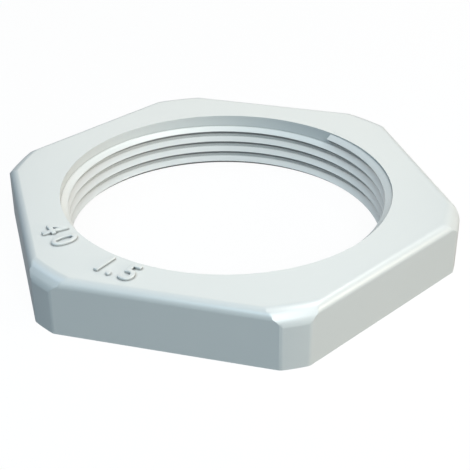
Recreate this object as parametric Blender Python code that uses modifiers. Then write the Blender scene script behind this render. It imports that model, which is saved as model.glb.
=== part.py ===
"""Hexagon locknut of a cable gland, moulded in one piece of plastic.

The nut lies flat: its underside is the plane z = 0, its axis is Z, and two of its
corners point along +X and -X. Units are metres, angles are degrees.

The body is a hexagon with rounded top edges, whose corners are turned round. The bore
is a plain hole, and the internal thread is one ridge that winds up its wall. Raised
plain numerals stand on the top face, on an arc around one corner.
"""
import math

import bmesh
import bpy
from mathutils import Matrix, Vector

# Internal thread, right-hand
THREAD_DIAMETER = 0.0400
THREAD_PITCH = 0.0015
THREAD_DEPTH = 0.00085
THREAD_ROOT_FLAT = 0.00036
THREAD_CREST_FLAT = 0.00005
THREAD_CREST_LIFT = 0.00011
THREAD_START_ANGLE = 1.4
THREAD_END_GAP = 0.00018

# Hexagon body
RIM_WIDTH = 0.0050
HEIGHT = 0.0070
CORNER_CUT = 0.00087
CORNER_EDGE_RADIUS = 0.0011
TOP_EDGE_RADIUS = 0.00105

# Turned slope over each corner
CORNER_SLOPE_RUN = 0.0012
CORNER_SLOPE_DROP = 0.0013
CORNER_SLOPE_BLEND = 0.0015

# Raised numerals
NUMERAL_HEIGHT = 0.0031
NUMERAL_RISE = 0.0003
NUMERAL_BORE_MARGIN = 0.0005
NUMERAL_NARROWING = 0.88
NUMERAL_BOLDNESS = 0.00008
NUMERAL_PLACES = (("4", -136.0), ("0", -129.0), ("1", -110.7), (".", -106.9), ("5", -101.9))
FONT_NUMERAL_SHARE = 0.73

# Derived sizes
SIDES = 6
HALF_SIDE_ANGLE = 180.0 / SIDES
FLAT_RADIUS = THREAD_DIAMETER / 2 + RIM_WIDTH
SHARP_CORNER_RADIUS = FLAT_RADIUS / math.cos(math.radians(HALF_SIDE_ANGLE))
CORNER_RADIUS = SHARP_CORNER_RADIUS - CORNER_CUT
NUMERAL_BASE_RADIUS = THREAD_DIAMETER / 2 + NUMERAL_BORE_MARGIN + NUMERAL_HEIGHT

# Tools run past the surface that they cut, and the slope starts just clear of the wall
OVERRUN = 0.0020
TURNING_ALLOWANCE = 0.00001

# Facets
TURN_STEPS = 72
SLOPE_STEPS = 180
EDGE_STEPS = 5
CORNER_STEPS = 4
NUMERAL_STEPS = 4
SHARP_ANGLE = 28.0
WELD_DISTANCE = 0.000001
NUMERAL_WELD_DISTANCE = 0.00002


def polar(radius, degrees):
    """Point of the XY plane at a radius and an angle."""
    angle = math.radians(degrees)
    return radius * math.cos(angle), radius * math.sin(angle)


def arc(centre, radius, start, end, steps):
    """Points of a circular arc, both ends included, angles in degrees."""
    points = []
    for step in range(steps + 1):
        x, y = polar(radius, start + (end - start) * step / steps)
        points.append((centre[0] + x, centre[1] + y))
    return points


def rounded(before, corner, after, radius, steps):
    """Arc that rounds the corner between two straight lines of a profile."""
    corner = Vector(corner)
    to_before = (Vector(before) - corner).normalized()
    to_after = (Vector(after) - corner).normalized()
    half = to_before.angle(to_after) / 2
    middle = (to_before + to_after).normalized()
    centre = corner + middle * (radius / math.sin(half))
    reach = radius / math.tan(half)
    first = corner + to_before * reach - centre
    last = corner + to_after * reach - centre
    start = math.degrees(math.atan2(first.y, first.x))
    sweep = math.degrees(last.angle_signed(first))
    return arc(centre, radius, start, start + sweep, steps)


def hexagon_outline():
    """Outline of the hexagon with turned corners, counter-clockwise.

    Each corner is an arc about the nut's axis, and a small arc on each side of it runs
    smoothly into the flat.
    """
    radius = CORNER_EDGE_RADIUS
    blend_centre = CORNER_RADIUS - radius
    half_width = HALF_SIDE_ANGLE - math.degrees(math.acos((FLAT_RADIUS - radius) / blend_centre))
    points = []
    for side in range(SIDES):
        middle = side * 2 * HALF_SIDE_ANGLE
        first = middle - half_width
        last = middle + half_width
        points += arc(polar(blend_centre, first), radius, middle - HALF_SIDE_ANGLE, first, EDGE_STEPS)
        points += arc((0, 0), CORNER_RADIUS, first, last, CORNER_STEPS)[1:-1]
        points += arc(polar(blend_centre, last), radius, last, middle + HALF_SIDE_ANGLE, EDGE_STEPS)
    return points


def slope_section():
    """Section of the ring that turns the corners' slope, as (radius, height) points.

    It runs up the outside, over the top and down the slope, so the side that cuts faces
    the nut's axis.
    """
    wall = CORNER_RADIUS + TURNING_ALLOWANCE
    high = (wall - CORNER_SLOPE_RUN, HEIGHT)
    low = (wall, HEIGHT - CORNER_SLOPE_DROP)
    slope = rounded((0, HEIGHT), high, low, CORNER_SLOPE_BLEND, EDGE_STEPS)
    slope += rounded(high, low, (wall, 0), CORNER_SLOPE_BLEND, EDGE_STEPS)
    outside = SHARP_CORNER_RADIUS + OVERRUN
    above = HEIGHT + OVERRUN
    outer_side = [(outside, slope[-1][1]), (outside, above), (slope[0][0], above)]
    return (slope + outer_side)[::-1]


def thread_section():
    """Section of the ridge as (radius, height) points, with its foot's middle at height 0.

    Its foot reaches into the bore's wall, and it runs from the upper side to the lower.
    The crest stands a little above the middle of the foot, so the upper side is flatter.
    """
    wall = THREAD_DIAMETER / 2
    buried = THREAD_DEPTH / 2
    spread = (thread_foot() - THREAD_CREST_FLAT / 2) * buried / THREAD_DEPTH
    tilt = THREAD_CREST_LIFT * buried / THREAD_DEPTH
    foot = thread_foot() + spread
    tip = THREAD_CREST_FLAT / 2
    crest = wall - THREAD_DEPTH
    return [
        (wall + buried, foot - tilt),
        (crest, THREAD_CREST_LIFT + tip),
        (crest, THREAD_CREST_LIFT - tip),
        (wall + buried, -foot - tilt),
    ]


def thread_foot():
    """Half the height of the ridge where it leaves the bore's wall."""
    return (THREAD_PITCH - THREAD_ROOT_FLAT) / 2


def add_object(name, data, collection):
    """Object with a mesh or a curve, in a collection."""
    new = bpy.data.objects.new(name, data)
    collection.objects.link(new)
    return new


def add_mesh_object(name, bm, collection):
    """Object from a finished bmesh, which is freed."""
    mesh = bpy.data.meshes.new(name)
    bm.to_mesh(mesh)
    bm.free()
    return add_object(name, mesh, collection)


def evaluated_mesh(source):
    """The mesh of a curve, text or mesh object, with its modifiers applied."""
    bpy.context.view_layer.update()
    graph = bpy.context.evaluated_depsgraph_get()
    return bpy.data.meshes.new_from_object(source.evaluated_get(graph))


def curve_to_mesh(source, weld, name, collection):
    """Turns a curve or text object into a mesh object at the same place."""
    mesh = evaluated_mesh(source)
    bm = bmesh.new()
    bm.from_mesh(mesh)
    bmesh.ops.remove_doubles(bm, verts=bm.verts, dist=weld)
    bm.to_mesh(mesh)
    bm.free()
    new = add_object(name, mesh, collection)
    new.matrix_world = source.matrix_world.copy()
    curve = source.data
    bpy.data.objects.remove(source)
    bpy.data.curves.remove(curve)
    return new


def apply_place(thing):
    """Moves an object's place into its mesh."""
    thing.data.transform(thing.matrix_world)
    thing.matrix_world = Matrix.Identity(4)


def apply_modifiers(thing):
    """Replaces an object's mesh by the result of its modifiers."""
    result = evaluated_mesh(thing)
    old = thing.data
    thing.modifiers.clear()
    thing.data = result
    bpy.data.meshes.remove(old)


def mark_cutter(cutter):
    """Keeps a tool body out of renders and out of the finished part."""
    cutter.hide_render = True
    cutter.display_type = "WIRE"
    return cutter


def section_loop(section, place):
    """Closed loop of edges along a section of (radius, height) points."""
    bm = bmesh.new()
    verts = [bm.verts.new(place @ Vector((radius, 0, height))) for radius, height in section]
    for first, second in zip(verts, verts[1:] + verts[:1]):
        bm.edges.new((first, second))
    return bm


def make_body(collection):
    """Hexagon plate from its outline, with the edge around its top rounded.

    The plate reaches below the underside, where it is faced flat later.
    """
    curve = bpy.data.curves.new("outline", "CURVE")
    curve.dimensions = "2D"
    curve.fill_mode = "BOTH"
    curve.extrude = (HEIGHT + OVERRUN) / 2
    outline = hexagon_outline()
    spline = curve.splines.new("POLY")
    spline.points.add(len(outline) - 1)
    for point, (x, y) in zip(spline.points, outline):
        point.co = (x, y, 0, 1)
    spline.use_cyclic_u = True
    plate = add_object("outline", curve, collection)
    plate.location.z = (HEIGHT - OVERRUN) / 2
    body = curve_to_mesh(plate, WELD_DISTANCE, "locknut", collection)
    apply_place(body)

    bm = bmesh.new()
    bm.from_mesh(body.data)
    bmesh.ops.dissolve_limit(bm, angle_limit=math.radians(1), verts=bm.verts, edges=bm.edges)
    rim = [edge for edge in bm.edges if all(vert.co.z > HEIGHT - OVERRUN for vert in edge.verts)]
    bmesh.ops.bevel(
        bm,
        geom=rim,
        offset=TOP_EDGE_RADIUS,
        segments=EDGE_STEPS,
        profile=0.5,
        affect="EDGES",
    )
    bm.to_mesh(body.data)
    bm.free()
    return body


def make_slope_tool(collection):
    """Ring that turns the slope over the six corners."""
    tool = add_mesh_object("corner_slope_tool", section_loop(slope_section(), Matrix()), collection)
    screw = tool.modifiers.new("turn", "SCREW")
    screw.steps = SLOPE_STEPS
    screw.render_steps = SLOPE_STEPS
    screw.use_merge_vertices = True
    screw.merge_threshold = WELD_DISTANCE
    return mark_cutter(tool)


def make_bore_tool(collection):
    """Cylinder of the bore, whose edges lie midway between the thread's edges."""
    turn = Matrix.Rotation(math.radians(THREAD_START_ANGLE + 180.0 / TURN_STEPS), 4, "Z")
    bm = bmesh.new()
    bmesh.ops.create_cone(
        bm,
        cap_ends=True,
        segments=TURN_STEPS,
        radius1=THREAD_DIAMETER / 2,
        radius2=THREAD_DIAMETER / 2,
        depth=HEIGHT + 4 * OVERRUN,
        matrix=Matrix.Translation((0, 0, HEIGHT / 2)) @ turn,
    )
    return mark_cutter(add_mesh_object("bore_tool", bm, collection))


def make_thread(collection):
    """Ridge of the thread, from a turn below the underside up to its blunt end.

    The middle of its foot passes height 0 over the +X axis, and it ends on the last facet
    below the gap at the top.
    """
    start_height = THREAD_PITCH * (THREAD_START_ANGLE / 360.0 - 1.0)
    highest = HEIGHT - THREAD_END_GAP - thread_foot()
    step_rise = THREAD_PITCH / TURN_STEPS
    steps = math.floor((highest - start_height) / step_rise)
    start_turn = Matrix.Rotation(math.radians(THREAD_START_ANGLE), 4, "Z")
    start = start_turn @ Matrix.Translation((0, 0, start_height))
    section = thread_section()
    ridge = add_mesh_object("thread_ridge", section_loop(section, start), collection)
    screw = ridge.modifiers.new("wind", "SCREW")
    screw.angle = math.radians(360.0 * steps / TURN_STEPS)
    screw.screw_offset = steps * step_rise
    screw.steps = steps
    screw.render_steps = steps
    apply_modifiers(ridge)

    bm = bmesh.new()
    bm.from_mesh(ridge.data)
    bmesh.ops.holes_fill(bm, edges=bm.edges, sides=len(section))
    bmesh.ops.recalc_face_normals(bm, faces=bm.faces)
    bm.to_mesh(ridge.data)
    bm.free()
    return mark_cutter(ridge)


def make_underside_tool(collection):
    """Block that faces the underside flat at z = 0."""
    width = 2 * (SHARP_CORNER_RADIUS + OVERRUN)
    depth = 4 * OVERRUN
    place = Matrix.Translation((0, 0, -depth / 2)) @ Matrix.Diagonal((width, width, depth, 1))
    bm = bmesh.new()
    bmesh.ops.create_cube(bm, size=1, matrix=place)
    return mark_cutter(add_mesh_object("underside_tool", bm, collection))


def embolden(mesh):
    """Moves the upright sides of a numeral outwards, each one square to itself.

    The sides are its four-cornered faces, and its ends are filled with triangles.
    """
    bm = bmesh.new()
    bm.from_mesh(mesh)
    moves = {}
    for vert in bm.verts:
        first, second = [face.normal for face in vert.link_faces if len(face.verts) == 4]
        moves[vert] = (first + second) * NUMERAL_BOLDNESS / (1 + first.dot(second))
    for vert, move in moves.items():
        vert.co += move
    bm.to_mesh(mesh)
    bm.free()


def make_numerals(collection):
    """Raised numerals that read counter-clockwise, with their feet outwards.

    Each one reaches as far into the body as it stands above the top face.
    """
    narrowing = Matrix.Diagonal((NUMERAL_NARROWING, 1, 1, 1))
    joined = bmesh.new()
    for character, place in NUMERAL_PLACES:
        curve = bpy.data.curves.new("numeral", "FONT")
        curve.body = character
        curve.align_x = "CENTER"
        curve.resolution_u = NUMERAL_STEPS
        curve.size = NUMERAL_HEIGHT / FONT_NUMERAL_SHARE
        curve.extrude = NUMERAL_RISE
        text = add_object("numeral", curve, collection)
        x, y = polar(NUMERAL_BASE_RADIUS, place)
        turn = Matrix.Rotation(math.radians(place + 90), 4, "Z")
        text.matrix_world = Matrix.Translation((x, y, HEIGHT)) @ turn @ narrowing
        glyph = curve_to_mesh(text, NUMERAL_WELD_DISTANCE, "numeral", collection)
        apply_place(glyph)
        mesh = glyph.data
        embolden(mesh)
        joined.from_mesh(mesh)
        bpy.data.objects.remove(glyph)
        bpy.data.meshes.remove(mesh)
    return mark_cutter(add_mesh_object("numerals", joined, collection))


def combine(body, tool, operation):
    """Cuts a tool out of the body, or joins it to the body."""
    modifier = body.modifiers.new(tool.name, "BOOLEAN")
    modifier.object = tool
    modifier.operation = operation
    modifier.solver = "EXACT"


def light_grey_polyamide():
    """Moulded polyamide in a light grey with a silk gloss."""
    material = bpy.data.materials.new("light_grey_polyamide")
    material.use_nodes = True
    shader = material.node_tree.nodes["Principled BSDF"]
    shader.inputs["Base Color"].default_value = (0.68, 0.71, 0.71, 1)
    shader.inputs["Roughness"].default_value = 0.42
    shader.inputs["Metallic"].default_value = 0.0
    return material


def main():
    """Makes the nut's body, cuts and threads its bore and adds its numerals."""
    for old in list(bpy.data.objects):
        bpy.data.objects.remove(old)
    parts = bpy.data.collections.new("cable_gland_locknut")
    tools = bpy.data.collections.new("tools")
    bpy.context.scene.collection.children.link(parts)
    bpy.context.scene.collection.children.link(tools)

    nut = make_body(parts)
    combine(nut, make_slope_tool(tools), "DIFFERENCE")
    combine(nut, make_bore_tool(tools), "DIFFERENCE")
    combine(nut, make_thread(tools), "UNION")
    combine(nut, make_underside_tool(tools), "DIFFERENCE")
    combine(nut, make_numerals(tools), "UNION")
    apply_modifiers(nut)
    nut.data.materials.clear()
    nut.data.materials.append(light_grey_polyamide())
    nut.data.shade_smooth()
    nut.data.set_sharp_from_angle(angle=math.radians(SHARP_ANGLE))


main()
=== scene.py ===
# %% [markdown]
# # A locknut for a cable gland
#
# A cable gland passes through the wall of a box, and this flat nut holds it from the
# inside. The real nut is moulded in one piece from light grey polyamide: a hexagon with
# rounded upper edges, six corners that look turned on a lathe, a fine thread in its bore
# and small raised numerals. It lies flat on a white table.
#
# The scene is built in that order: body, corners, bore, thread, numerals, material, and
# then the table, the lamps and the camera.

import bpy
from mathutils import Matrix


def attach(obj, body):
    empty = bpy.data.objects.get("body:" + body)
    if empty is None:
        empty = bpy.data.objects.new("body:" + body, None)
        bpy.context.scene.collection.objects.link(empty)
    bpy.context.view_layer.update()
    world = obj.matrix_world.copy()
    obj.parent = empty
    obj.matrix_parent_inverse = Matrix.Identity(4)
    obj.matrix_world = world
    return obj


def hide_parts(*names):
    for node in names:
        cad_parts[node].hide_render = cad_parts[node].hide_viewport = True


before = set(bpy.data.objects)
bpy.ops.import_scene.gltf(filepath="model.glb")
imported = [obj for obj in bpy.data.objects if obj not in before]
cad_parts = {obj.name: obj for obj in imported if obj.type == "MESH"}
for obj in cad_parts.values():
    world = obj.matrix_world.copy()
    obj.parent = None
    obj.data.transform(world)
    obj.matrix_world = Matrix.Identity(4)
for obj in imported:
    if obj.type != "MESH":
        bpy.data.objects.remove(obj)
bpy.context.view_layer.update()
print("packed nodes:", sorted(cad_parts))

# %% [markdown]
# ## Sizes
#
# All lengths are metres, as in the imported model, and the nut's axis is Z with its
# underside at height 0. The thread is a metric one, 40 mm with a pitch of 1.5 mm, and
# the flats take a 50 mm spanner. The corner cut is what the circle takes off each sharp
# corner. The slope over a corner is given by how far it runs inwards and how far it
# drops. The thread's ridge is given by its depth, the heights of its foot and its crest
# and how far the crest is lifted, and its start and sweep are angles in degrees. The last
# two values are for work: how far a tool runs past what it cuts, and a length too small
# to be seen.

# %% Sizes of the nut
import math

import bmesh
import bpy
from mathutils import Matrix, Vector

BORE_RADIUS = 0.0200
FLAT_RADIUS = 0.0250
HEIGHT = 0.0070
SHARP_CORNER_RADIUS = FLAT_RADIUS / math.cos(math.radians(30))
CORNER_CUT = 0.00087
CORNER_RADIUS = SHARP_CORNER_RADIUS - CORNER_CUT
EDGE_RADIUS = 0.0011
RIM_RADIUS = 0.00105
SLOPE_RUN = 0.0012
SLOPE_DROP = 0.0013
SLOPE_BLEND = 0.0015

PITCH = 0.0015
RIDGE_DEPTH = 0.00085
RIDGE_FOOT = 0.00114
RIDGE_CREST = 0.00005
RIDGE_LIFT = 0.00011
THREAD_START = 1.4
THREAD_SWEEP = 1860

BELOW = 0.0020
HAIR = 0.00001
print("width over corners: %.2f mm" % (2000 * CORNER_RADIUS))

# %% [markdown]
# ## Working by hand, in code
#
# Every tool of edit mode acts on what is selected. So each step first puts everything
# down, takes up one object, and selects its vertices, edges or faces by where they are.
# These few helpers do only that. Boolean modifiers stand in for the saw, the lathe and
# the drill.


# %% Helpers
def take_up(piece):
    """Deselects everything, then selects one object and makes it the active one."""
    bpy.ops.object.select_all(action="DESELECT")
    piece.select_set(True)
    bpy.context.view_layer.objects.active = piece


def new_piece(name):
    """Names the primitive that was just added and moves its place into its mesh."""
    bpy.ops.object.transform_apply(location=True, rotation=True, scale=True)
    piece = bpy.context.object
    piece.name = name
    return piece


def pick(piece, kind, test):
    """Opens a piece in edit mode and selects its VERT, EDGE or FACE elements that pass a test."""
    take_up(piece)
    bpy.ops.object.mode_set(mode="EDIT")
    bpy.ops.mesh.select_mode(type=kind)
    bpy.ops.mesh.select_all(action="DESELECT")
    mesh = bmesh.from_edit_mesh(piece.data)
    elements = {"VERT": mesh.verts, "EDGE": mesh.edges, "FACE": mesh.faces}[kind]
    found = [element for element in elements if test(element)]
    for element in found:
        element.select = True
    mesh.select_flush_mode()
    bmesh.update_edit_mesh(piece.data)
    return len(found)


def put_down():
    """Leaves edit mode."""
    bpy.ops.object.mode_set(mode="OBJECT")


def machine(piece, tool, operation):
    """Cuts a tool out of a piece, joins it on, or keeps what they share. The tool is used up."""
    take_up(piece)
    step = piece.modifiers.new(operation.lower(), "BOOLEAN")
    step.object = tool
    step.operation = operation
    step.solver = "EXACT"
    bpy.ops.object.modifier_apply(modifier=step.name)
    bpy.data.objects.remove(tool)
    print("%s %s: %d faces" % (piece.name, operation.lower(), len(piece.data.polygons)))


def near(value, target):
    """True if two lengths agree to a hundredth of a millimetre."""
    return abs(value - target) < HAIR


# %% [markdown]
# ## The hexagon and its corners
#
# The outline is a hexagon whose corners are cut off by a circle, so each corner is a
# narrow curved face. It could be drawn point by point. It is quicker, and exact, to keep
# what a hexagonal bar and a round bar have in common. The circle is cut so fine that its
# steps don't show. The body reaches 2 mm below the underside until it is faced off.

# %% Hexagonal bar, cut by a round one
bpy.ops.object.select_all(action="DESELECT")
bpy.ops.mesh.primitive_cylinder_add(
    vertices=216,
    radius=CORNER_RADIUS,
    depth=HEIGHT + 2 * BELOW,
    location=(0, 0, HEIGHT / 2),
)
round_bar = new_piece("round_bar")
bpy.ops.mesh.primitive_cylinder_add(
    vertices=6,
    radius=SHARP_CORNER_RADIUS,
    depth=HEIGHT + BELOW,
    location=(0, 0, (HEIGHT - BELOW) / 2),
    rotation=(0, 0, math.radians(30)),
)
nut = new_piece("moulded_locknut")
machine(nut, round_bar, "INTERSECT")

# %% [markdown]
# The upright edges beside each corner are rounded by about a millimetre, and the whole
# upper rim by the same. Both are bevels with an even, circular profile. The upright ones
# come first, so that the rim's rounding runs round them without a break. A bevel is given
# by its offset, which is the radius times the tangent of half the bend at the edge.


# %% Round the upright edges and the upper rim
CLEAR_ANGLE = 0.2


def upright_and_sharp(edge):
    """True for an edge that stands upright between two faces at a clear angle."""
    first, second = edge.verts
    return (first.co.xy - second.co.xy).length < HAIR and edge.calc_face_angle(0) > CLEAR_ANGLE


upright_count = pick(nut, "EDGE", upright_and_sharp)
bend = math.acos(FLAT_RADIUS / CORNER_RADIUS)
bpy.ops.mesh.bevel(offset=EDGE_RADIUS * math.tan(bend / 2), segments=6, profile=0.5, affect="EDGES")
put_down()

rim_count = pick(nut, "EDGE", lambda edge: all(near(vert.co.z, HEIGHT) for vert in edge.verts))
bpy.ops.mesh.bevel(offset=RIM_RADIUS, segments=10, profile=0.5, affect="EDGES")
put_down()
print("upright edges rounded: %d, rim edges rounded: %d" % (upright_count, rim_count))

# %% [markdown]
# ## The turned slopes
#
# Over each corner lies a sloping face with soft upper and lower edges, a piece of one
# cone about the axis. A disc with such a rim is made first: its top is inset by the
# slope's run, its outer rim is lowered by the slope's drop, and both new edges are
# rounded. What the hexagon and the disc have in common is the finished outside. The disc
# is a hair wider than the corners, so it touches only the slopes.

# %% Disc with a sloping rim
DISC_RADIUS = CORNER_RADIUS + HAIR
bpy.ops.object.select_all(action="DESELECT")
bpy.ops.mesh.primitive_cylinder_add(
    vertices=360,
    radius=DISC_RADIUS,
    depth=HEIGHT + 2 * BELOW,
    location=(0, 0, HEIGHT / 2 - BELOW),
)
disc = new_piece("disc")
pick(disc, "FACE", lambda face: face.normal.z > 0.9)
bpy.ops.mesh.inset(thickness=SLOPE_RUN)
put_down()
pick(disc, "VERT", lambda vert: near(vert.co.z, HEIGHT) and near(vert.co.xy.length, DISC_RADIUS))
bpy.ops.transform.translate(value=(0, 0, -SLOPE_DROP))
put_down()


# %% Round the disc's two edges and cut the corners with it
def lies_on_ring(edge, radius, height):
    """True if both ends of an edge are at this radius and height."""
    return all(near(vert.co.xy.length, radius) and near(vert.co.z, height) for vert in edge.verts)


upper_bend = math.atan2(SLOPE_DROP, SLOPE_RUN)
pick(disc, "EDGE", lambda edge: lies_on_ring(edge, DISC_RADIUS - SLOPE_RUN, HEIGHT))
upper_offset = SLOPE_BLEND * math.tan(upper_bend / 2)
bpy.ops.mesh.bevel(offset=upper_offset, segments=8, profile=0.5, affect="EDGES")
put_down()
lower_bend = math.radians(90) - upper_bend
pick(disc, "EDGE", lambda edge: lies_on_ring(edge, DISC_RADIUS, HEIGHT - SLOPE_DROP))
lower_offset = SLOPE_BLEND * math.tan(lower_bend / 2)
bpy.ops.mesh.bevel(offset=lower_offset, segments=8, profile=0.5, affect="EDGES")
put_down()
machine(nut, disc, "INTERSECT")

# %% [markdown]
# ## The bore and its thread
#
# A drill of 40 mm makes the bore, as wide as the thread is at the bottom of its grooves.
# What stands between the grooves is one sharp ridge that winds up the wall. Its section
# starts as a small upright square. That is narrowed to the ridge's depth, and its inner
# edge is pinched almost to a point. The point is lifted a little, which makes the upper
# side of the ridge flatter than its underside, and the outer edge, inside the wall, is
# lowered to match. The Screw modifier winds the section up, a full pitch to a turn. It
# begins a turn below the underside and stops bluntly a little under the top, as the real
# one does where its core ended in the mould. The drill's facets lie midway between the
# ridge's steps, because edges that almost coincide trouble a Boolean.

# %% Drill the bore
RIDGE_STEPS = 288
half_step = math.radians(180 / RIDGE_STEPS)
bpy.ops.object.select_all(action="DESELECT")
bpy.ops.mesh.primitive_cylinder_add(
    vertices=RIDGE_STEPS,
    radius=BORE_RADIUS,
    depth=HEIGHT + 4 * BELOW,
    location=(0, 0, HEIGHT / 2),
    rotation=(0, 0, math.radians(THREAD_START) + half_step),
)
machine(nut, new_piece("drill"), "DIFFERENCE")

# %% Section of the ridge
BURIED = RIDGE_DEPTH / 2
buried_foot = RIDGE_FOOT + (RIDGE_FOOT - RIDGE_CREST) * BURIED / RIDGE_DEPTH
middle = BORE_RADIUS + (BURIED - RIDGE_DEPTH) / 2
bpy.ops.object.select_all(action="DESELECT")
bpy.ops.mesh.primitive_plane_add(size=buried_foot, location=(middle, 0, 0), rotation=(math.pi / 2, 0, 0))
ridge = new_piece("thread_ridge")
pick(ridge, "FACE", lambda face: True)
bpy.ops.transform.resize(value=((BURIED + RIDGE_DEPTH) / buried_foot, 1, 1), center_override=(middle, 0, 0))
put_down()
pick(ridge, "VERT", lambda vert: vert.co.x < middle)
bpy.ops.transform.resize(value=(1, 1, RIDGE_CREST / buried_foot), center_override=(middle, 0, 0))
bpy.ops.transform.translate(value=(0, 0, RIDGE_LIFT))
put_down()
pick(ridge, "VERT", lambda vert: vert.co.x > middle)
bpy.ops.transform.translate(value=(0, 0, -RIDGE_LIFT * BURIED / RIDGE_DEPTH))
put_down()
pick(ridge, "FACE", lambda face: True)
bpy.ops.mesh.delete(type="ONLY_FACE")
put_down()
for vert in ridge.data.vertices:
    print("section point: radius %.3f mm, height %.3f mm" % (1000 * vert.co.x, 1000 * vert.co.z))

# %% Wind the ridge and join it to the wall
ridge.location = (0, 0, PITCH * (THREAD_START / 360 - 1))
ridge.rotation_euler = (0, 0, math.radians(THREAD_START))
take_up(ridge)
bpy.ops.object.transform_apply(location=True, rotation=True, scale=True)
turns = THREAD_SWEEP / 360
wind = ridge.modifiers.new("wind", "SCREW")
wind.angle = 2 * math.pi * turns
wind.screw_offset = PITCH * turns
wind.steps = round(RIDGE_STEPS * turns)
wind.render_steps = wind.steps
bpy.ops.object.modifier_apply(modifier=wind.name)
pick(ridge, "EDGE", lambda edge: edge.is_boundary)
bpy.ops.mesh.fill_holes(sides=4)
bpy.ops.mesh.select_all(action="SELECT")
bpy.ops.mesh.normals_make_consistent(inside=False)
put_down()
machine(nut, ridge, "UNION")

# %% [markdown]
# The thread runs out through the underside. A block takes off all that reaches below
# height 0 and leaves the flat face that bears on the box.

# %% Face off the underside
BLOCK_SIZE = 0.1
bpy.ops.object.select_all(action="DESELECT")
bpy.ops.mesh.primitive_cube_add(size=BLOCK_SIZE, location=(0, 0, -BLOCK_SIZE / 2))
machine(nut, new_piece("block"), "DIFFERENCE")

# %% [markdown]
# ## The raised numerals
#
# The mould carries the nut's size as engraved numerals, which stand 0.3 mm proud on the
# nut. They run along an arc about one corner, with their feet outwards, so the number is
# read from outside. Each is typed as text and made a curve. A curve can be extruded and
# given a round bevel, which swells the stroke and softens its edges as an engraving
# cutter does. Where two points of an outline lie almost on each other, one is taken out
# first, because the bevel would fold there. A figure of Blender's own font is 0.73 times
# as high as the size that is asked for, so the height is divided by that.

# %% Numerals
NUMERALS = (("4", -136.0), ("0", -129.0), ("1", -110.7), (".", -106.9), ("5", -101.9))
NUMERAL_HEIGHT = 0.0031
NUMERAL_RISE = 0.0003
STROKE_SWELL = 0.00008
FOOT_RADIUS = 0.0236
NARROWING = 0.88
FONT_FIGURE_SHARE = 0.73
SAME_PLACE = 0.00002


def take_out_doubled_points(outline):
    """Deletes a point of a curve's outline that lies almost on the next one."""
    take_up(outline)
    bpy.ops.object.mode_set(mode="EDIT")
    bpy.ops.curve.select_all(action="DESELECT")
    doubled = 0
    for spline in outline.data.splines:
        points = list(spline.bezier_points)
        for point, following in zip(points, points[1:] + points[:1]):
            if (point.co - following.co).length < SAME_PLACE:
                point.select_control_point = True
                doubled += 1
    if doubled:
        bpy.ops.curve.delete(type="VERT")
    bpy.ops.object.mode_set(mode="OBJECT")


def raised_numeral(figure, angle):
    """One raised numeral with its foot on the arc, at an angle about the axis."""
    bpy.ops.object.select_all(action="DESELECT")
    bpy.ops.object.text_add(location=(0, 0, 0))
    text = bpy.context.object.data
    text.body = figure
    text.align_x = "CENTER"
    text.resolution_u = 6
    text.size = NUMERAL_HEIGHT / FONT_FIGURE_SHARE
    bpy.ops.object.convert(target="CURVE")
    outline = bpy.context.object
    take_out_doubled_points(outline)
    outline.data.extrude = NUMERAL_RISE - STROKE_SWELL
    outline.data.bevel_depth = STROKE_SWELL
    outline.data.bevel_resolution = 2
    bpy.ops.object.convert(target="MESH")
    numeral = bpy.context.object
    pick(numeral, "VERT", lambda vert: True)
    bpy.ops.mesh.remove_doubles(threshold=0.000001)
    put_down()
    numeral.scale = (NARROWING, 1, 1)
    numeral.rotation_euler = (0, 0, math.radians(angle + 90))
    numeral.location = (
        FOOT_RADIUS * math.cos(math.radians(angle)),
        FOOT_RADIUS * math.sin(math.radians(angle)),
        HEIGHT,
    )
    return new_piece("numeral")


for figure, angle in NUMERALS:
    numeral = raised_numeral(figure, angle)
    top = max(vert.co.z for vert in numeral.data.vertices)
    print("numeral %s stands to %.3f mm" % (figure, 1000 * top))
    machine(nut, numeral, "UNION")

# %% [markdown]
# ## Shading
#
# Curved faces are shaded smooth and edges of more than 30 degrees stay crisp. The large
# flat faces meet the small facets of the roundings at a slight angle, and smooth shading
# alone would bend the light on them. The Weighted Normal modifier lets the larger face
# decide, so flats stay flat and roundings stay round.

# %% Shade the nut
take_up(nut)
bpy.ops.object.shade_smooth_by_angle(angle=math.radians(30))
weigh = nut.modifiers.new("weigh", "WEIGHTED_NORMAL")
weigh.keep_sharp = True
bpy.ops.object.modifier_apply(modifier=weigh.name)
print("triangles: %d" % sum(len(face.vertices) - 2 for face in nut.data.polygons))

# %% [markdown]
# ## The material
#
# Plain moulded polyamide: a cool light grey, a silk gloss, and the faint grain that a
# spark-eroded mould leaves. The grain is a bump far finer than a millimetre, and slow,
# weak clouds vary the colour and the gloss, as they do where melt of slightly different
# age met. The specular level is nearly twice the usual one, because the highlights along
# the rounded edges are strong in the photograph.
#
# Two things are painted darker than the rest, as painted shade. The undersides of the
# thread's turns are painted in deep shade between their bright upper sides. No other face
# of the nut slopes downwards, so the Z part of the surface normal picks them out. It runs
# from -1, straight down, to 1, and is brought to the 0 to 1 of a colour ramp, which paints
# the range of the undersides dark and leaves the flat face under the nut as it is. Tight
# inner corners, such as the feet of the numerals, get a thin line of painted shade from the
# Ambient Occlusion node, which looks less than half a millimetre about itself.


# %% Light grey polyamide
# Painted shade: DEEP_SHADE is the colour painted on the thread's undersides, and the reach is how far the
# painted corner shade looks about itself.
DEEP_SHADE = (0.04, 0.04, 0.05, 1)
CORNER_SHADE_REACH = 0.0004
GRAIN_HEIGHT = 0.00003


def darkened(material, colour, share):
    """A colour output multiplied by a share between 0 and 1 that another output gives."""
    mix = material.node_tree.nodes.new("ShaderNodeMix")
    mix.data_type = "RGBA"
    mix.blend_type = "MULTIPLY"
    mix.inputs["Factor"].default_value = 1
    material.node_tree.links.new(colour, mix.inputs["A"])
    material.node_tree.links.new(share, mix.inputs["B"])
    return mix.outputs["Result"]


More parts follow.
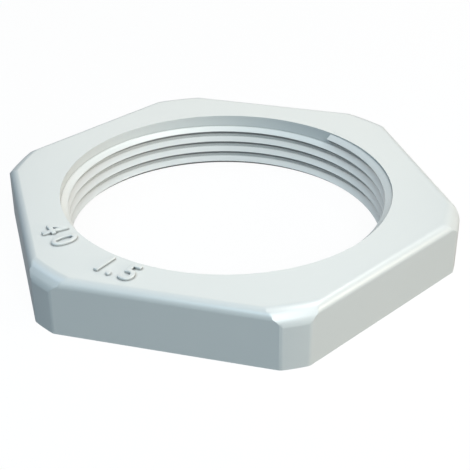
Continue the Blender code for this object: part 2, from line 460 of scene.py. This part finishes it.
def light_grey_polyamide():
    """Moulded polyamide in a light grey with a silk gloss, a faint mould grain and painted shade on its
    undersides and inner corners.
    """
    material = bpy.data.materials.new("light_grey_polyamide")
    material.use_nodes = True
    nodes = material.node_tree.nodes
    link = material.node_tree.links.new
    shader = nodes["Principled BSDF"]
    shader.inputs["Specular IOR Level"].default_value = 0.9
    place = nodes.new("ShaderNodeTexCoord")

    clouds = nodes.new("ShaderNodeTexNoise")
    clouds.inputs["Scale"].default_value = 140
    clouds.inputs["Detail"].default_value = 3
    link(place.outputs["Object"], clouds.inputs["Vector"])
    tint = nodes.new("ShaderNodeMix")
    tint.data_type = "RGBA"
    tint.inputs["A"].default_value = (0.695, 0.720, 0.710, 1)
    tint.inputs["B"].default_value = (0.720, 0.740, 0.725, 1)
    link(clouds.outputs["Fac"], tint.inputs["Factor"])
    gloss = nodes.new("ShaderNodeMapRange")
    gloss.inputs["To Min"].default_value = 0.26
    gloss.inputs["To Max"].default_value = 0.36
    link(clouds.outputs["Fac"], gloss.inputs["Value"])
    link(gloss.outputs["Result"], shader.inputs["Roughness"])

    # Painted shade: faces that slope downwards, the thread's undersides, are painted dark through a ramp on
    # the normal's Z.
    facing = nodes.new("ShaderNodeSeparateXYZ")
    link(place.outputs["Normal"], facing.inputs["Vector"])
    upward = nodes.new("ShaderNodeMapRange")
    upward.inputs["From Min"].default_value = -1
    link(facing.outputs["Z"], upward.inputs["Value"])
    undersides = nodes.new("ShaderNodeValToRGB")
    straight_down, upright = undersides.color_ramp.elements
    straight_down.position = 0.04
    straight_down.color = (1, 1, 1, 1)
    upright.position = 0.32
    upright.color = (1, 1, 1, 1)
    for position in (0.08, 0.25):
        undersides.color_ramp.elements.new(position).color = DEEP_SHADE
    link(upward.outputs["Result"], undersides.inputs["Fac"])

    # Painted shade: tight inner corners, such as the numerals' feet, are painted darker from the Ambient
    # Occlusion node.
    corners = nodes.new("ShaderNodeAmbientOcclusion")
    corners.only_local = True
    corners.inputs["Distance"].default_value = CORNER_SHADE_REACH
    painted_corner_shade = nodes.new("ShaderNodeMapRange")
    painted_corner_shade.inputs["From Min"].default_value = 0.35
    painted_corner_shade.inputs["From Max"].default_value = 0.92
    painted_corner_shade.inputs["To Min"].default_value = 0.05
    link(corners.outputs["AO"], painted_corner_shade.inputs["Value"])

    # The tint is multiplied by the painted shade of the undersides, then by that of the inner corners.
    colour = darkened(material, tint.outputs["Result"], undersides.outputs["Color"])
    colour = darkened(material, colour, painted_corner_shade.outputs["Result"])
    link(colour, shader.inputs["Base Color"])

    grain = nodes.new("ShaderNodeTexNoise")
    grain.inputs["Scale"].default_value = 5000
    grain.inputs["Detail"].default_value = 2
    link(place.outputs["Object"], grain.inputs["Vector"])
    bump = nodes.new("ShaderNodeBump")
    bump.inputs["Strength"].default_value = 0.12
    bump.inputs["Distance"].default_value = GRAIN_HEIGHT
    link(grain.outputs["Fac"], bump.inputs["Height"])
    link(bump.outputs["Normal"], shader.inputs["Normal"])
    print("%s: %d nodes" % (material.name, len(nodes)))
    return material


nut.data.materials.clear()
nut.data.materials.append(light_grey_polyamide())
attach(nut, "root")
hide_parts("locknut")

# %% [markdown]
# ## The table
#
# The nut lies on a white table that has no visible edge. The camera sees the table almost
# as a plain white glow, with a tenth of its own shaded surface mixed in, so the nut's
# shadow stays but is faint. Rays that pass through something see the same white. Glossy
# rays see a fifth of it: with all of it, the left flat would mirror the table and turn
# paler than in the photograph. For the light that the table throws back it is a dark grey,
# which lets the nut's upright faces look as deep as they do there.


# %% Table
GLOSSY_SHARE = 0.2
GLOW_SHARE = 0.9
DARK_GREY = (0.12, 0.12, 0.12, 1)
NEAR_WHITE = (0.95, 0.95, 0.95, 1)


def seen_as_white(tree):
    """An output that is 1 for camera and transmission rays and a fifth for glossy ones."""
    path = tree.nodes.new("ShaderNodeLightPath")
    seen = path.outputs["Is Camera Ray"]
    for kind, share in (("Is Glossy Ray", GLOSSY_SHARE), ("Is Transmission Ray", 1)):
        more = tree.nodes.new("ShaderNodeMath")
        more.operation = "MULTIPLY_ADD"
        more.use_clamp = True
        tree.links.new(path.outputs[kind], more.inputs[0])
        more.inputs[1].default_value = share
        tree.links.new(seen, more.inputs[2])
        seen = more.outputs[0]
    return seen


def white_table():
    """A matt table, white with a faint shadow where it is seen, dark where it lights."""
    material = bpy.data.materials.new("white_table")
    material.use_nodes = True
    nodes = material.node_tree.nodes
    link = material.node_tree.links.new
    shader = nodes["Principled BSDF"]
    shader.inputs["Roughness"].default_value = 0.9
    shader.inputs["Specular IOR Level"].default_value = 0
    seen = seen_as_white(material.node_tree)
    colour = nodes.new("ShaderNodeMix")
    colour.data_type = "RGBA"
    colour.inputs["A"].default_value = DARK_GREY
    colour.inputs["B"].default_value = NEAR_WHITE
    link(seen, colour.inputs["Factor"])
    link(colour.outputs["Result"], shader.inputs["Base Color"])
    share = nodes.new("ShaderNodeMath")
    share.operation = "MULTIPLY"
    share.inputs[1].default_value = GLOW_SHARE
    link(seen, share.inputs[0])
    glow = nodes.new("ShaderNodeEmission")
    mix = nodes.new("ShaderNodeMixShader")
    link(share.outputs[0], mix.inputs[0])
    link(shader.outputs[0], mix.inputs[1])
    link(glow.outputs[0], mix.inputs[2])
    link(mix.outputs[0], nodes["Material Output"].inputs["Surface"])
    return material


bpy.ops.object.select_all(action="DESELECT")
bpy.ops.mesh.primitive_grid_add(x_subdivisions=8, y_subdivisions=8, size=3, location=(0, 0, 0))
table = new_piece("table")
table.data.materials.append(white_table())

# %% [markdown]
# ## Light
#
# Small soft boxes light the nut as in a product studio, all 0.6 metres away. Each one is
# given by its azimuth and elevation in degrees, its width in metres, its power in watts
# and its colour.
#
# The key lamp stands where the slope over the front right corner mirrors it. A high one at
# the back right lights the top face and the left wall of the bore, and one low behind the
# nut is mirrored in the top face. These three cast no shadow, because the photograph's
# thread is lit in even bands, with no shadow of one turn on the next. A warm box low on
# the right brightens the right flat. One in front, near the key, and a cooler one beside
# it leave the front flat and the back wall in blue-grey. The last one reaches the right
# wall from the left. The air is no lamp. It is seen like the table: as white by the
# camera, and a fifth as bright in the nut's gloss.


# %% Lamps
LAMP_DISTANCE = 0.6


def soft_box(name, azimuth, elevation, size, watts, colour, shadow=True):
    """Square soft box that faces the nut from a direction in degrees, with or without a shadow."""
    across, up = math.radians(azimuth), math.radians(elevation)
    direction = Vector((math.cos(across) * math.cos(up), math.sin(across) * math.cos(up), math.sin(up)))
    lamp = bpy.data.lights.new(name, "AREA")
    lamp.shape = "SQUARE"
    lamp.size = size
    lamp.energy = watts
    lamp.color = colour
    lamp.use_shadow = shadow
    box = bpy.data.objects.new(name, lamp)
    box.location = direction * LAMP_DISTANCE
    box.rotation_euler = direction.to_track_quat("Z", "Y").to_euler()
    bpy.context.scene.collection.objects.link(box)


soft_box("key", -39, 54, 0.25, 0.65, (1, 1, 1), shadow=False)
soft_box("high", 30, 62, 0.3, 1.75, (1, 0.95, 0.91), shadow=False)
soft_box("behind", 105, 31, 0.3, 0.4, (1, 0.95, 0.83), shadow=False)
soft_box("low", 0, 12, 0.3, 1.4, (1, 0.91, 0.76))
soft_box("near", -60, 42, 0.3, 1.4, (0.86, 0.97, 1))
soft_box("front", -90, 42, 0.3, 0.8, (0.49, 0.79, 1))
soft_box("left", 180, 42, 0.3, 0.45, (0.45, 0.72, 1))

# %% White behind the table's far edge
world = bpy.data.worlds.new("studio")
bpy.context.scene.world = world
world.use_nodes = True
air = world.node_tree.nodes["Background"]
air.inputs["Color"].default_value = (1, 1, 1, 1)
world.node_tree.links.new(seen_as_white(world.node_tree), air.inputs["Strength"])

# %% [markdown]
# ## Camera
#
# The camera stands where the photograph's stood: in front and a little to the right, 31
# degrees above the table, with a moderately long lens. The frame is 470 by 470 pixels.
# A small shift puts the nut where it sits in the frame, and a third of a degree of roll
# levels it.

# %% Camera
AZIMUTH = math.radians(-74.558)
ELEVATION = math.radians(30.787)
DISTANCE = 0.136133
ROLL = math.radians(-0.32)
FOCAL_LENGTH = 83.82
SHIFT_ACROSS = 0.01816
SHIFT_UP = -0.00099

out = Vector(
    (
        math.cos(AZIMUTH) * math.cos(ELEVATION),
        math.sin(AZIMUTH) * math.cos(ELEVATION),
        math.sin(ELEVATION),
    )
)
camera = bpy.data.objects.new("camera", bpy.data.cameras.new("camera"))
bpy.context.scene.collection.objects.link(camera)
facing = out.to_track_quat("Z", "Y").to_matrix() @ Matrix.Rotation(ROLL, 3, "Z")
camera.matrix_world = Matrix.Translation(out * DISTANCE) @ facing.to_4x4()
camera.data.sensor_width = 36
camera.data.lens = FOCAL_LENGTH
camera.data.shift_x = SHIFT_ACROSS
camera.data.shift_y = SHIFT_UP
camera.data.clip_start = 0.01
bpy.context.scene.camera = camera
bpy.context.scene.view_settings.view_transform = "Standard"
